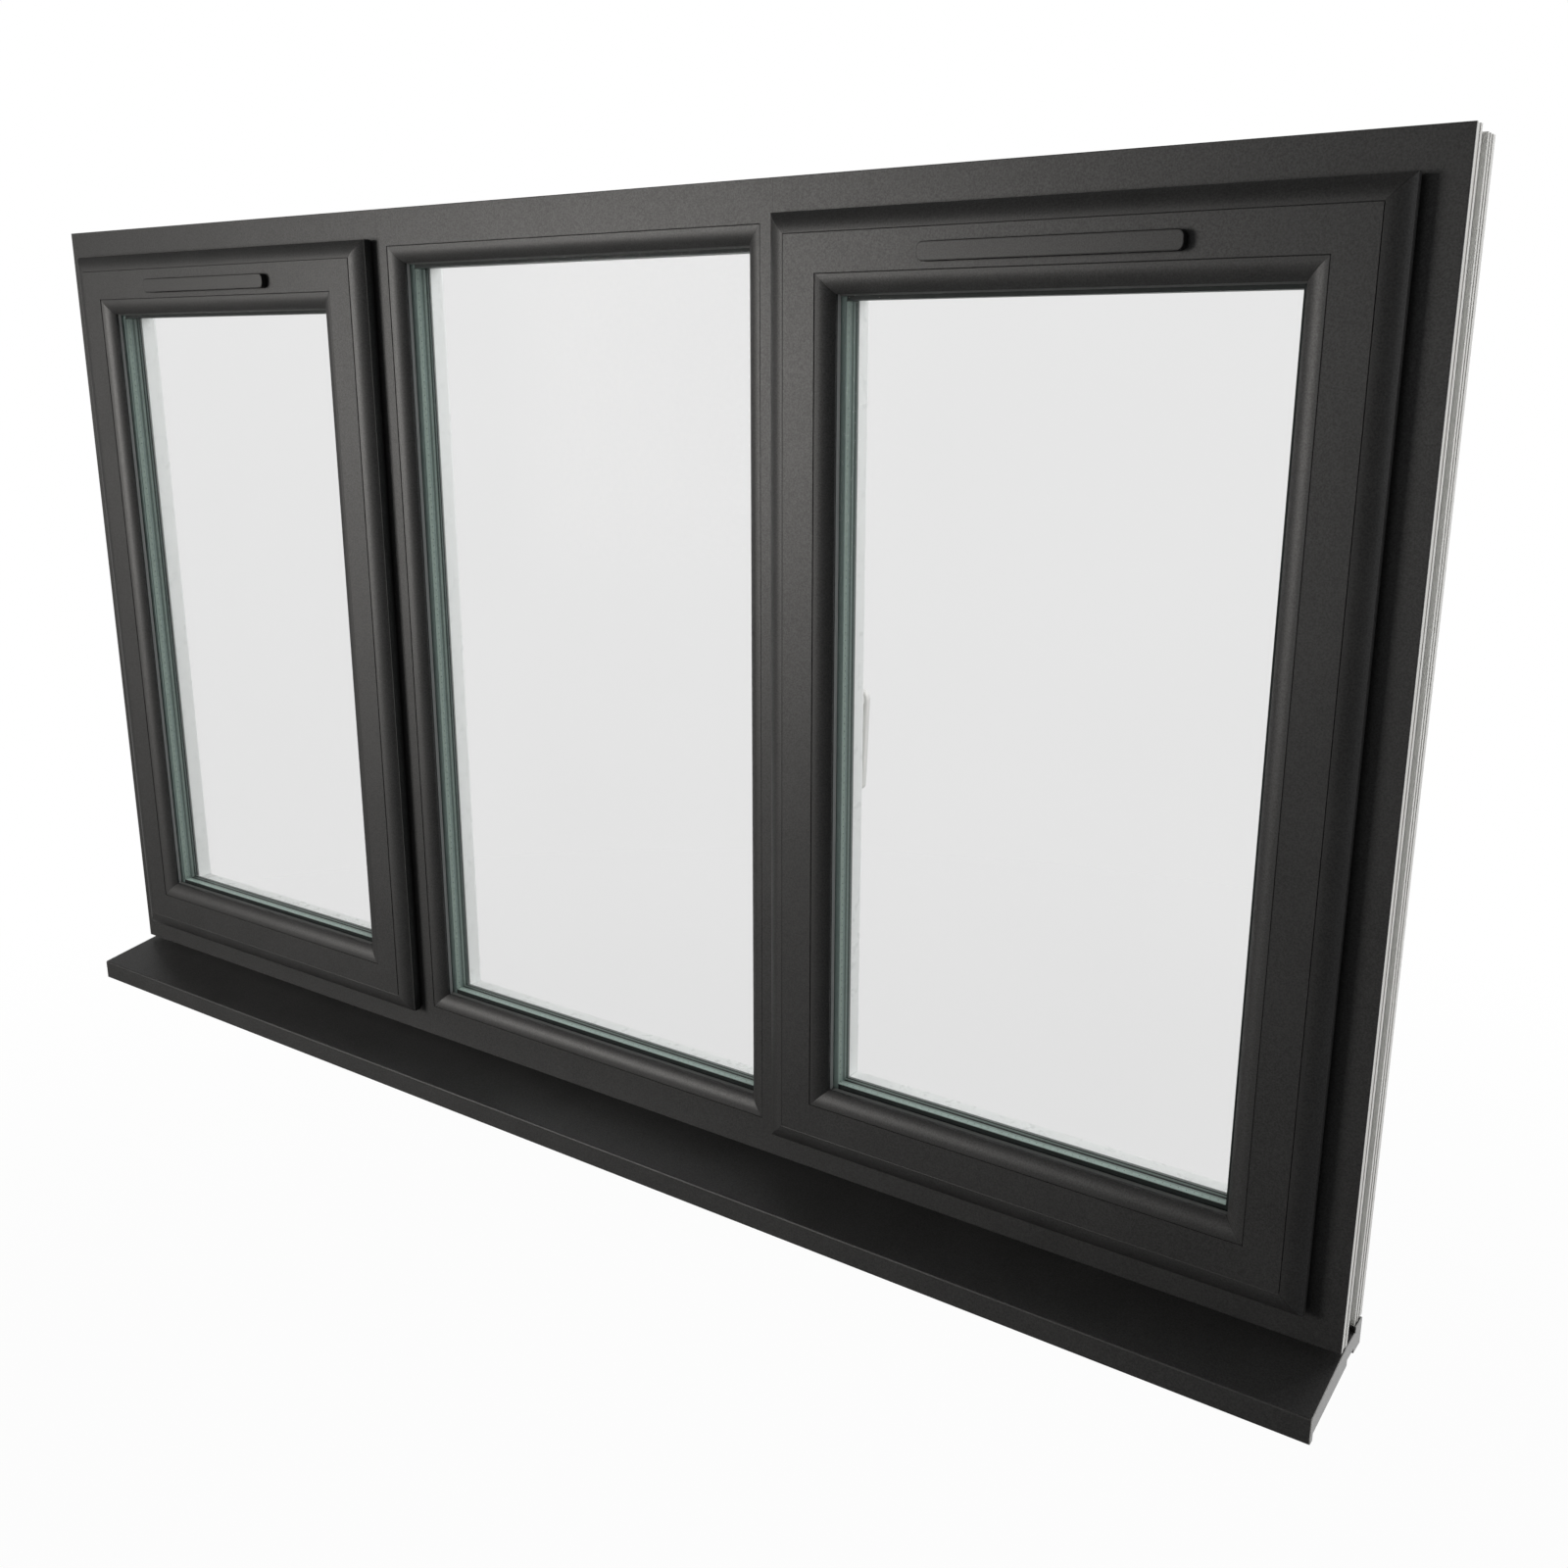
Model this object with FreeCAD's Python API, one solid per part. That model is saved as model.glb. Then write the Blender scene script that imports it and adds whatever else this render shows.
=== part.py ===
import FreeCAD, Part
import math
import os

V = FreeCAD.Vector

# Triple casement window of welded PVC-U profiles: side-hung casements left and right of a
# fixed centre light, on a projecting sill. X runs along the wall, Y from outside to inside,
# Z up. While it is drawn, X = 0 is the frame's left edge, Y = 0 its outside face and
# Z = 0 its lower edge; the pieces are moved to the sill's bedding strip at the end.

# Overall sizes
frame_width = 1770.0
frame_height = 1000.0
frame_depth = 70.0
mullion_spacing = 549.0

# Outer frame and mullion faces
frame_flat = 39.5
mullion_flat = 28.9

# Moulded edge shared by frame, mullions and sashes
ovolo_width = 18.6
ovolo_fall = 9.0
quirk_width = 1.0
quirk_depth = 0.9
leg_thickness = 12.0
rebate_set_back = 2.5
arris_round = 0.8

# Outside of the frame, hidden in the wall
flange_depth = 18.0
channel_end = 46.0
channel_recess = 6.0
back_recess = 2.0
flange_groove_from = 5.5
flange_groove_width = 7.0
groove_depth = 0.5
channel_rib_height = 0.6
channel_rib_width = 2.0
back_groove_from = 50.0
back_groove_width = 4.0
back_groove_pitch = 8.0

# Sashes
sash_overlap = 7.2
sash_proud = 22.0
sash_depth = 70.0
sash_edge_width = 20.0
sash_flat = 34.5
sash_flange_thickness = 16.0
sash_leg_clearance = 1.9
seal_set_back = 2.0
seal_width = 4.6

# Sealed glass units and what holds them
pane_thickness = 4.0
pane_gap = 20.0
glass_gasket = 3.0
glass_edge_clearance = 5.0
sight_line = 24.0
gasket_sight = 20.0
gasket_bearing = 10.0
spacer_height = 11.0
spacer_set_back = 0.5
bead_sight = 19.0
bead_set_back = 0.5
bead_round = 6.0
mitre_gap = 0.3

# Trickle vents
vent_length = 240.0
vent_height = 16.4
vent_proud = 8.0
vent_corner = 6.0
vent_edge = 0.8
vent_drop = 40.4
vent_shadow_gap = 0.8
vent_plinth_inset = 2.0
control_length = 250.0
control_height = 22.0
control_plate = 3.0
control_flap_margin = 4.0
control_flap_proud = 7.0
control_edge = 2.0

# Handles
handle_base_width = 28.0
handle_base_height = 68.0
handle_base_depth = 12.0
handle_corner = 9.0
handle_edge = 3.5
lever_hub_radius = 11.0
lever_tip_radius = 7.5
lever_drop = 97.0
lever_stand_off = 32.0
lever_thickness = 11.0
lever_neck_radius = 9.0
lever_edge = 3.5

# Friction stays
stay_length = 330.0
stay_width = 20.0
stay_plate = 2.5
stay_from_outside = 22.0
stay_end_gap = 40.0
stay_arm_width = 14.0
stay_long_arm = 250.0
stay_short_arm = 120.0
stay_rivet_radius = 4.0

# Sill
sill_projection = 75.0
nosing_bottom = -43.8
nosing_top = -19.0
nosing_round = 2.2
slope_rise_end = -3.4
sill_back = 65.0
sill_interlock_gap = 0.4
sill_foot_width = 20.0
sill_foot_bottom = -24.3
sill_groove_top = -19.5
sill_groove_width = 20.0
sill_belly_bottom = -25.5
sill_drip_width = 7.0
sill_drip_depth = 7.0
sill_wall = 2.5
sill_web = 1.8
slope_chambers = 5
cap_thickness = 0.8
interlock_end_gap = 18.0

# Places that follow from the sizes
quirk_u = frame_flat
leg_end = quirk_u + ovolo_width
rebate_base = quirk_u + rebate_set_back
left_mullion_x = (frame_width - mullion_spacing) / 2
right_mullion_x = (frame_width + mullion_spacing) / 2
sash_quirk = sash_edge_width + sash_flat
sash_body_side = sash_overlap + ovolo_width + sash_leg_clearance
sash_back = sash_depth - sash_proud
glass_front = leg_thickness + glass_gasket
unit_thickness = 2 * pane_thickness + pane_gap
glass_back = glass_front + unit_thickness
glass_inset = rebate_set_back + glass_edge_clearance
sill_foot_middle = sill_back - sill_foot_width / 2

os.makedirs("parts", exist_ok=True)


def save(shape, node):
    """Move a finished piece so that the origin is on the sill's bedding strip, and write it."""
    moved = shape.copy()
    moved.translate(V(-frame_width / 2, -sill_foot_middle, -sill_foot_bottom))
    moved.exportStep("parts/" + node + ".step")


def section(start, *runs):
    """Closed face in the X-Y plane. A run is an end point, or (through, end) for an arc."""
    edges = []
    here = start
    for run in runs + (start,):
        if isinstance(run[0], tuple):
            through, end = run
            edges.append(Part.Arc(V(*here), V(*through), V(*end)).toShape())
        else:
            end = run
            edges.append(Part.LineSegment(V(*here), V(*end)).toShape())
        here = end
    return Part.Face(Part.Wire(edges))


def prism(points, y_from, y_to):
    """Solid between two Y planes with an outline of (x, z) points."""
    corners = [V(x, y_from, z) for x, z in points]
    outline = Part.makePolygon(corners + corners[:1])
    return Part.Face(outline).extrude(V(0, y_to - y_from, 0))


def upright(face, y_from, y_to):
    """Extrude a section of (x, z) points from one Y plane to another."""
    turned = face.copy()
    turned.rotate(V(0, 0, 0), V(1, 0, 0), 90)
    turned.translate(V(0, y_from, 0))
    return turned.extrude(V(0, y_to - y_from, 0))


def along_x(face, x_from, x_to):
    """Extrude a section of (y, z) points from one X plane to another."""
    solid = face.extrude(V(0, 0, x_to - x_from))
    turn = FreeCAD.Rotation(V(0, 1, 0), V(0, 0, 1), V(1, 0, 0), "ZXY")
    solid.Placement = FreeCAD.Placement(V(x_from, 0, 0), turn)
    return solid


def mitred_bar(face, length, gap=0.0):
    """Bar along Z whose ends are cut at 45 degrees, u = X being the way in from the edge."""
    box = face.BoundBox
    low, high = box.XMin - 1.0, box.XMax + 1.0
    keep = prism(
        [(low, low + gap), (high, high + gap), (high, length - high - gap), (low, length - low - gap)],
        box.YMin - 1.0,
        box.YMax + 1.0,
    )
    return face.extrude(V(0, 0, length)).common(keep)


def four_bars(rect, face, gap=0.0):
    """The same section round the inside of a rectangle (x0, z0, x1, z1), mitred at the corners."""
    x0, z0, x1, z1 = rect
    places = {
        "left": (0, V(x0, 0, z0), z1 - z0),
        "top": (90, V(x0, 0, z1), x1 - x0),
        "right": (180, V(x1, 0, z1), z1 - z0),
        "bottom": (-90, V(x1, 0, z0), x1 - x0),
    }
    bars = {}
    for side, (turn, corner, length) in places.items():
        bar = mitred_bar(face, length, gap)
        bar.rotate(V(0, 0, 0), V(0, 1, 0), turn)
        bar.translate(corner)
        bars[side] = bar
    return bars


def ring(rect, face):
    """Four mitred bars joined at their corners."""
    bars = list(four_bars(rect, face).values())
    return bars[0].multiFuse(bars[1:]).removeSplitter()


def grown(rect, by):
    """A rectangle moved outwards on all sides, or inwards where by is negative."""
    x0, z0, x1, z1 = rect
    return (x0 - by, z0 - by, x1 + by, z1 + by)


def moulded_edge(flat_end, front, way=1.0, width=ovolo_width):
    """Runs from the end of a flat face through its quirk and down an ovolo that starts level."""
    start_u = flat_end + way * quirk_width
    start_v = front + quirk_depth / 2
    run = width - quirk_width
    drop = ovolo_fall - quirk_depth / 2
    radius = (run * run + drop * drop) / (2 * drop)
    half_turn = math.asin(run / radius) / 2
    through = (start_u + way * radius * math.sin(half_turn), start_v + radius * (1 - math.cos(half_turn)))
    return [
        (flat_end + way * quirk_width / 3, front + quirk_depth),
        (start_u, start_v),
        (through, (flat_end + way * width, front + ovolo_fall)),
    ]


def backwards(start, runs):
    """End point of some runs, and the same runs drawn from there back to their start."""
    back = []
    here = start
    for run in runs:
        if isinstance(run[0], tuple):
            through, end = run
            back.append((through, here))
        else:
            end = run
            back.append(here)
        here = end
    back.reverse()
    return here, back


def frame_section():
    """Outer frame: outside flange and channel, front flat, moulded edge and glazing rebate."""
    groove_to = flange_groove_from + flange_groove_width
    rib_middle = (flange_depth + channel_end) / 2
    rib_from = rib_middle - channel_rib_width / 2
    rib_to = rib_middle + channel_rib_width / 2
    rib_top = channel_recess - channel_rib_height
    back_floor = back_recess + groove_depth
    back_grooves = []
    for start in (back_groove_from + back_groove_pitch, back_groove_from):
        end = start + back_groove_width
        back_grooves += [(back_recess, end), (back_floor, end), (back_floor, start), (back_recess, start)]
    round_middle = arris_round * (1 - math.sqrt(0.5))
    return section(
        (0.0, arris_round),
        ((round_middle, round_middle), (arris_round, 0.0)),
        (quirk_u, 0.0),
        *moulded_edge(quirk_u, 0.0),
        (leg_end, leg_thickness),
        (rebate_base, leg_thickness),
        (rebate_base, frame_depth),
        (back_recess, frame_depth),
        *back_grooves,
        (back_recess, channel_end),
        (channel_recess, channel_end),
        (channel_recess, rib_to),
        (rib_top, rib_to),
        (rib_top, rib_from),
        (channel_recess, rib_from),
        (channel_recess, flange_depth),
        (0.0, flange_depth),
        (0.0, groove_to),
        (groove_depth, groove_to),
        (groove_depth, flange_groove_from),
        (0.0, flange_groove_from),
    )


def mullion_section():
    """T section: a flat between two moulded edges, and the web between two rebates."""
    half = mullion_flat / 2
    web = half + rebate_set_back
    left_end, left_edge = backwards((-half, 0.0), moulded_edge(-half, 0.0, -1.0))
    return section(
        (-half, 0.0),
        (half, 0.0),
        *moulded_edge(half, 0.0),
        (half + ovolo_width, leg_thickness),
        (web, leg_thickness),
        (web, frame_depth),
        (-web, frame_depth),
        (-web, leg_thickness),
        (-half - ovolo_width, leg_thickness),
        left_end,
        *left_edge[:-1],
    )


def mullion_outline(middle):
    """Outline of a mullion's face: square at the flat, mitred where its moulded edges turn."""
    half = mullion_flat / 2
    reach = ovolo_width + 1.0
    low, high = quirk_u, frame_height - quirk_u
    return [
        (middle - half, low),
        (middle + half, low),
        (middle + half + reach, low + reach),
        (middle + half + reach, high - reach),
        (middle + half, high),
        (middle - half, high),
        (middle - half - reach, high - reach),
        (middle - half - reach, low + reach),
    ]


def outer_frame():
    """Head, bottom rail and jambs, with the mullions let into head and rail."""
    bars = four_bars((0.0, 0.0, frame_width, frame_height), frame_section())
    for side, middle in (("left", left_mullion_x), ("right", right_mullion_x)):
        seat = prism(mullion_outline(middle), -1.0, frame_depth + 1.0)
        stock = mullion_section().extrude(V(0, 0, frame_height))
        stock.translate(V(middle, 0, 0))
        save(stock.common(seat), side + "_mullion")
        for rail in ("top", "bottom"):
            bars[rail] = bars[rail].cut(seat)
    save(bars["top"], "frame_head")
    save(bars["bottom"], "frame_bottom_rail")
    save(bars["left"], "frame_left_jamb")
    save(bars["right"], "frame_right_jamb")


def light_quirk(left_quirk, right_quirk):
    """Rectangle of the quirk lines round one light."""
    return (left_quirk, quirk_u, right_quirk, frame_height - quirk_u)


def glazing(name, quirk_rect, front, bead_back):
    """Sealed unit, spacer, outside gasket and inside beads of one light."""
    outer_face = front + glass_front
    inner_face = front + glass_back
    x0, z0, x1, z1 = grown(quirk_rect, -glass_inset)
    for pane, pane_front in (("outer", outer_face), ("inner", inner_face - pane_thickness)):
        sheet = Part.makeBox(x1 - x0, pane_thickness, z1 - z0, V(x0, pane_front, z0))
        save(sheet, name + "_" + pane + "_pane")

    spacer_in = sight_line - spacer_set_back
    spacer = section(
        (spacer_in - spacer_height, outer_face + pane_thickness),
        (spacer_in, outer_face + pane_thickness),
        (spacer_in, inner_face - pane_thickness),
        (spacer_in - spacer_height, inner_face - pane_thickness),
    )
    save(ring(quirk_rect, spacer), name + "_spacer")

    lip = glass_gasket / 5
    gasket = section(
        (ovolo_width - gasket_bearing, front + leg_thickness),
        (ovolo_width, front + leg_thickness),
        (gasket_sight, outer_face - lip),
        (gasket_sight, outer_face),
        (ovolo_width - gasket_bearing, outer_face),
    )
    save(ring(quirk_rect, gasket), name + "_outer_gasket")

    round_middle = bead_round * (1 - math.sqrt(0.5))
    bead = section(
        (rebate_set_back, inner_face),
        (bead_sight, inner_face),
        (bead_sight, bead_back - bead_round),
        ((bead_sight - round_middle, bead_back - round_middle), (bead_sight - bead_round, bead_back)),
        (rebate_set_back, bead_back),
    )
    beads = four_bars(quirk_rect, bead, mitre_gap)
    save(Part.makeCompound(list(beads.values())), name + "_beads")


def sash_section():
    """Casement profile: moulded flange over the frame, flat, moulded glazing leg, rebate, body."""
    front = -sash_proud
    flange_back = front + sash_flange_thickness
    inner_base = sash_quirk + rebate_set_back
    flat_start = (sash_edge_width, front)
    outer_end, outer_edge = backwards(
        flat_start, moulded_edge(sash_edge_width, front, -1.0, sash_edge_width)
    )
    return section(
        flat_start,
        (sash_quirk, front),
        *moulded_edge(sash_quirk, front),
        (sash_quirk + ovolo_width, front + leg_thickness),
        (inner_base, front + leg_thickness),
        (inner_base, sash_back),
        (sash_body_side, sash_back),
        (sash_body_side, flange_back),
        (0.0, flange_back),
        outer_end,
        *outer_edge[:-1],
    )


def rounded_plate(corner, size, radius, edge, front_is_low):
    """Plate in the X-Z plane with round corners and softened front edges."""
    plate = Part.makeBox(*size, corner)
    upright = [e for e in plate.Edges if abs(e.tangentAt(e.FirstParameter).y) > 0.9]
    plate = plate.makeFillet(radius, upright)
    face_y = corner.y if front_is_low else corner.y + size[1]
    rim = [e for e in plate.Edges if abs(e.BoundBox.YMin - face_y) + abs(e.BoundBox.YMax - face_y) < 0.01]
    return plate.makeFillet(edge, rim)


def trickle_vent(name, middle, height):
    """Canopy over the slot outside, on a set-back plinth, and the closing flap on its plate inside."""
    canopy = rounded_plate(
        V(middle - vent_length / 2, -sash_proud - vent_proud, height - vent_height / 2),
        (vent_length, vent_proud - vent_shadow_gap, vent_height),
        vent_corner,
        vent_edge,
        True,
    )
    plinth_length = vent_length - 2 * vent_plinth_inset
    plinth_height = vent_height - 2 * vent_plinth_inset
    plinth = Part.makeBox(
        plinth_length,
        vent_proud / 2,
        plinth_height,
        V(middle - plinth_length / 2, -sash_proud - vent_proud / 2, height - plinth_height / 2),
    )
    save(canopy.fuse(plinth).removeSplitter(), name + "_trickle_vent")

    plate = rounded_plate(
        V(middle - control_length / 2, sash_back, height - control_height / 2),
        (control_length, control_plate, control_height),
        vent_corner,
        control_plate / 3,
        False,
    )
    flap_height = control_height - 2 * control_flap_margin
    flap_length = control_length - 4 * control_flap_margin
    flap = rounded_plate(
        V(middle - flap_length / 2, sash_back + control_plate, height - flap_height / 2),
        (flap_length, control_flap_proud, flap_height),
        flap_height / 3,
        control_edge,
        False,
    )
    save(plate.fuse(flap), name + "_vent_control")


def handle(name, middle, height):
    """Lever handle on the inside of the lock stile, lever hanging down."""
    base = rounded_plate(
        V(middle - handle_base_width / 2, sash_back, height - handle_base_height / 2),
        (handle_base_width, handle_base_depth, handle_base_height),
        handle_corner,
        handle_edge,
        False,
    )
    save(base, name + "_handle_base")

    neck_from = sash_back + handle_base_depth
    inner = sash_back + lever_stand_off
    length = lever_drop - lever_tip_radius
    slant = math.asin((lever_hub_radius - lever_tip_radius) / length)
    across, down = math.cos(slant), math.sin(slant)
    hub_side, hub_low = lever_hub_radius * across, height - lever_hub_radius * down
    tip_side, tip_low = lever_tip_radius * across, height - length - lever_tip_radius * down
    blade = upright(
        section(
            (middle - tip_side, tip_low),
            ((middle, height - lever_drop), (middle + tip_side, tip_low)),
            (middle + hub_side, hub_low),
            ((middle, height + lever_hub_radius), (middle - hub_side, hub_low)),
        ),
        inner,
        inner + lever_thickness,
    )
    rims = [e for e in blade.Edges if e.BoundBox.YLength < 0.01]
    blade = blade.makeFillet(lever_edge, rims)
    neck = Part.makeCylinder(
        lever_neck_radius,
        lever_stand_off - handle_base_depth + lever_thickness / 2,
        V(middle, neck_from, height),
        V(0, 1, 0),
    )
    save(blade.fuse(neck).removeSplitter(), name + "_handle_lever")


def friction_stay(x_hinge, way, base_z, up):
    """Folded stay: track on the frame, bar on the sash, two arms between them, one solid."""
    gap = leg_end + sash_leg_clearance - rebate_base
    y_from = stay_from_outside

    def plate(start, length, width, level, thickness):
        x_low = x_hinge + way * start if way > 0 else x_hinge - start - length
        z_low = base_z + level if up > 0 else base_z - level - thickness
        inset = (stay_width - width) / 2
        return Part.makeBox(length, width, thickness, V(x_low, y_from + inset, z_low))

    pieces = [
        plate(0.0, stay_length, stay_width, 0.0, stay_plate),
        plate(0.0, stay_length, stay_width, gap - stay_plate, stay_plate),
    ]
    long_level = gap / 2
    short_level = long_level - stay_plate
    long_start = (stay_length - stay_long_arm) / 2
    short_start = long_start
    pieces.append(plate(long_start, stay_long_arm, stay_arm_width, long_level, stay_plate))
    pieces.append(plate(short_start, stay_short_arm, stay_arm_width, short_level, stay_plate))
    rivet_places = (
        long_start + stay_arm_width / 2,
        short_start + stay_short_arm - stay_arm_width / 2,
        long_start + stay_long_arm - stay_arm_width / 2,
    )
    for place in rivet_places:
        foot = V(x_hinge + way * place, y_from + stay_width / 2, base_z)
        pieces.append(Part.makeCylinder(stay_rivet_radius, gap, foot, V(0, 0, up)))
    return pieces[0].multiFuse(pieces[1:]).removeSplitter()


def casement(name, frame_quirk, hinge_side):
    """One opening light with everything that swings with it, and its stays."""
    rect = grown(frame_quirk, sash_overlap)
    x0, z0, x1, z1 = rect
    bars = four_bars(rect, sash_section())
    lock_side = "right" if hinge_side == "left" else "left"
    save(bars["top"], name + "_sash_top_rail")
    save(bars["bottom"], name + "_sash_bottom_rail")
    save(bars[hinge_side], name + "_sash_hinge_stile")
    save(bars[lock_side], name + "_sash_lock_stile")

    flange_back = sash_flange_thickness - sash_proud
    seal = section(
        (seal_set_back, flange_back),
        (seal_set_back + seal_width, flange_back),
        (seal_set_back + seal_width, 0.0),
        (seal_set_back, 0.0),
    )
    save(ring(rect, seal), name + "_weather_seal")

    glazing(name, grown(rect, -sash_quirk), -sash_proud, sash_back - bead_set_back)
    trickle_vent(name, (x0 + x1) / 2, z1 - vent_drop)
    stile_middle = (sash_body_side + sash_quirk + rebate_set_back) / 2
    lock_x = x1 - stile_middle if lock_side == "right" else x0 + stile_middle
    handle(name, lock_x, (z0 + z1) / 2)

    way = 1 if hinge_side == "left" else -1
    hinge_x = (x0 if hinge_side == "left" else x1) + way * (sash_body_side + stay_end_gap)
    stays = [
        friction_stay(hinge_x, way, rebate_base, 1),
        friction_stay(hinge_x, way, frame_height - rebate_base, -1),
    ]
    save(Part.makeCompound(stays), name + "_friction_stays")


def sill():
    """Sloped sill with rows of chambers, and the flat caps on its two ends."""
    front = -sill_projection
    seat_from = flange_depth + sill_interlock_gap
    seat_to = channel_end - sill_interlock_gap
    foot_front = sill_back - sill_foot_width
    groove_front = foot_front - sill_groove_width
    drip_back = front + sill_drip_width
    drip_top = nosing_bottom + sill_drip_depth
    slope_from = front + nosing_round
    round_middle = nosing_round * (1 - math.sqrt(0.5))
    outline = section(
        (front, nosing_bottom),
        (front, nosing_top - nosing_round),
        ((front + round_middle, nosing_top - round_middle), (slope_from, nosing_top)),
        (seat_from, slope_rise_end),
        (seat_to, slope_rise_end),
        (seat_to, back_recess),
        (sill_back, back_recess),
        (sill_back, sill_foot_bottom),
        (foot_front, sill_foot_bottom),
        (foot_front, sill_groove_top),
        (groove_front, sill_groove_top),
        (groove_front, sill_belly_bottom),
        (drip_back, drip_top),
        (drip_back, nosing_bottom),
    )
    rib_top = channel_recess - channel_rib_height - sill_interlock_gap
    rib = Part.makeBox(
        frame_width - 2 * interlock_end_gap,
        seat_to - seat_from,
        rib_top - slope_rise_end,
        V(interlock_end_gap, seat_from, slope_rise_end),
    )
    body = along_x(outline, cap_thickness, frame_width - cap_thickness).fuse(rib).removeSplitter()

    top_rise = (slope_rise_end - nosing_top) / (seat_from - slope_from)
    belly_rise = (sill_belly_bottom - drip_top) / (groove_front - drip_back)

    def under_top(y):
        return min(slope_rise_end, nosing_top + (y - slope_from) * top_rise) - sill_wall

    def over_belly(y):
        return drip_top + (y - drip_back) * belly_rise + sill_wall

    first = front + sill_wall
    last = groove_front - sill_wall
    pitch = (last - first + sill_web) / slope_chambers
    chambers = []
    for count in range(slope_chambers):
        near = first + count * pitch
        far = near + pitch - sill_web
        chambers.append(
            [(near, over_belly(near)), (far, over_belly(far)), (far, under_top(far)), (near, under_top(near))]
        )
    for near, far, low, high in (
        (last + sill_web, seat_to - sill_wall, sill_groove_top, slope_rise_end),
        (foot_front + sill_wall, sill_back - sill_wall, sill_foot_bottom, back_recess),
    ):
        low += sill_wall
        high -= sill_wall
        chambers.append([(near, low), (far, low), (far, high), (near, high)])
    hollows = [along_x(section(*corners), -1.0, frame_width + 1.0) for corners in chambers]
    save(body.cut(hollows), "sill")

    for side, x_from in (("left", 0.0), ("right", frame_width - cap_thickness)):
        save(along_x(outline, x_from, x_from + cap_thickness), "sill_" + side + "_end_cap")


outer_frame()
sill()

half_mullion = mullion_flat / 2
left_light = light_quirk(quirk_u, left_mullion_x - half_mullion)
fixed_light = light_quirk(left_mullion_x + half_mullion, right_mullion_x - half_mullion)
right_light = light_quirk(right_mullion_x + half_mullion, frame_width - quirk_u)
casement("left", left_light, "left")
casement("right", right_light, "right")
glazing("fixed", fixed_light, 0.0, frame_depth - bead_set_back)
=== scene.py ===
import bpy
import math
from mathutils import Matrix, Vector


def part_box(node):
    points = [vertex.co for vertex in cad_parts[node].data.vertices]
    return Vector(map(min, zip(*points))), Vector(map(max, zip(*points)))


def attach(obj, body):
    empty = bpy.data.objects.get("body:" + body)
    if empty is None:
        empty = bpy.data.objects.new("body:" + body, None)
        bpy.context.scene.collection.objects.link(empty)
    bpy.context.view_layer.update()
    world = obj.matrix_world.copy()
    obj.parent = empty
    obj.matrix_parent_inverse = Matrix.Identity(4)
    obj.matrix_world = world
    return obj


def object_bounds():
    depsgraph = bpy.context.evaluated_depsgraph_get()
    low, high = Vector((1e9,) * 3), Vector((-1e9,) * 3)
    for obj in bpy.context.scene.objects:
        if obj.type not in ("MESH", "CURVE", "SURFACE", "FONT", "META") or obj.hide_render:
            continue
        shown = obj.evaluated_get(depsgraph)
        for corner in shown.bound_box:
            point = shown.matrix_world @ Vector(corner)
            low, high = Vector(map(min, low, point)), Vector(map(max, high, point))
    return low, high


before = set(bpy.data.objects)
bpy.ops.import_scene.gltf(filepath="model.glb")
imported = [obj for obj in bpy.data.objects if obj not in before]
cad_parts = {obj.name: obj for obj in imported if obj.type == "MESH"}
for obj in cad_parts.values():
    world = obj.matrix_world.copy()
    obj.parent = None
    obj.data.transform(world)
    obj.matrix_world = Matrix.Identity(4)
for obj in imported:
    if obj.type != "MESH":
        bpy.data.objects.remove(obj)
cad_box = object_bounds()
scene = bpy.context.scene

MM = 0.001
LIGHTS = ("left", "fixed", "right")
CASEMENTS = ("left", "right")

# Faces of the CAD pieces that finishes and trim start from
frame_low, frame_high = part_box("frame_head")
frame_front = frame_low.y
frame_top = frame_high.z
frame_half = frame_high.x
frame_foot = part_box("frame_bottom_rail")[0].z
mullion_middle = sum(corner.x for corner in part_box("right_mullion")) / 2
sash_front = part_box("left_sash_top_rail")[0].y
sill_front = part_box("sill")[0].y

# Sizes of the moulded profiles that the finishes follow
FLAT_WIDTH = 39.5 * MM
OVOLO_WIDTH = 18.6 * MM
SASH_EDGE_WIDTH = 20 * MM
SASH_QUIRK = 54.5 * MM
FOIL_WRAP = 1.6 * MM
FRAME_FOIL_DEPTH = 12.5 * MM
SASH_FOIL_DEPTH = 16.5 * MM
PERIMETER_DEPTH = 6.5 * MM
MITRE_LINE = 0.3 * MM
HEAD_LINE = 0.25 * MM
BEAD_WIDTH = 16.5 * MM
LIP_REACH = 2.6 * MM
LIP_TUCK = 0.6 * MM
LIP_DEPTH = 3.0 * MM
CHANNEL_MIDDLE = 32 * MM
CHANNEL_HALF = 14.2 * MM
ARRIS_DEPTH = 9 * MM
# Share of the painted highlight on the flange arris of each casement
ARRIS_HIGHLIGHT = {"left": 0.8, "right": 0.1}
SPACER_HEIGHT = 11 * MM
GASKET_WIDTH = 11.6 * MM
BUTYL_PROUD = 0.3 * MM
BUTYL_TUCK = 0.2 * MM
SASH_FLANGE = 16 * MM
FLIPPER_INSET = 0.4 * MM
FLIPPER_WIDTH = 2.2 * MM
FLIPPER_DEPTH = 3.6 * MM
LEVER_HUB = 11 * MM
VENT_CORNER = 6 * MM
# Width of the painted shade line round a vent's rim
VENT_RIM = 1.3 * MM
SILL_SLOPE = 15.6 / 91.2
SILL_SEAT = frame_foot - 3.4 * MM
SILL_SLOPE_END = frame_front + 18.4 * MM
SILL_FOIL = 1.0 * MM

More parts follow.
